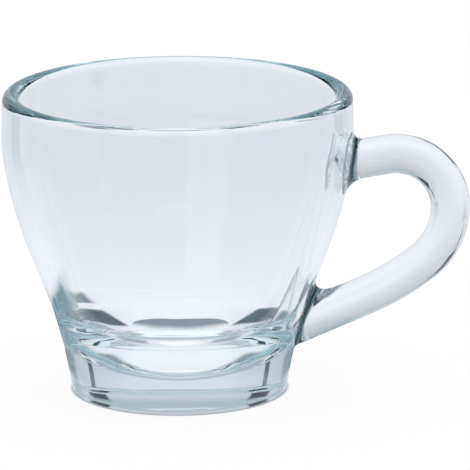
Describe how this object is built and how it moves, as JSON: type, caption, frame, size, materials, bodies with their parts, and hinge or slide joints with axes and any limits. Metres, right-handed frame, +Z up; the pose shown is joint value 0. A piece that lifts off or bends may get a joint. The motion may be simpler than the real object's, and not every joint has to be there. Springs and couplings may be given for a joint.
{
  "type": "glass coffee cup",
  "caption": "Small clear glass coffee cup with a flared bowl on a heavy solid foot and a round rod loop handle, fused to the bowl by spread pads.",
  "frame": {"origin": "on the cup's axis, in the plane of the foot's resting face", "axes": "+Z up along the cup's axis, +X towards the handle, XZ the plane of symmetry"},
  "size_m": [0.0997, 0.075, 0.065],
  "materials": {
    "clear_glass": "clear fire-polished pressed glass, with a faint blue-green tone where it is thick"
  },
  "bodies": {
    "root": {"cup_body": "clear_glass", "handle": "clear_glass"}
  },
  "joints": []
}
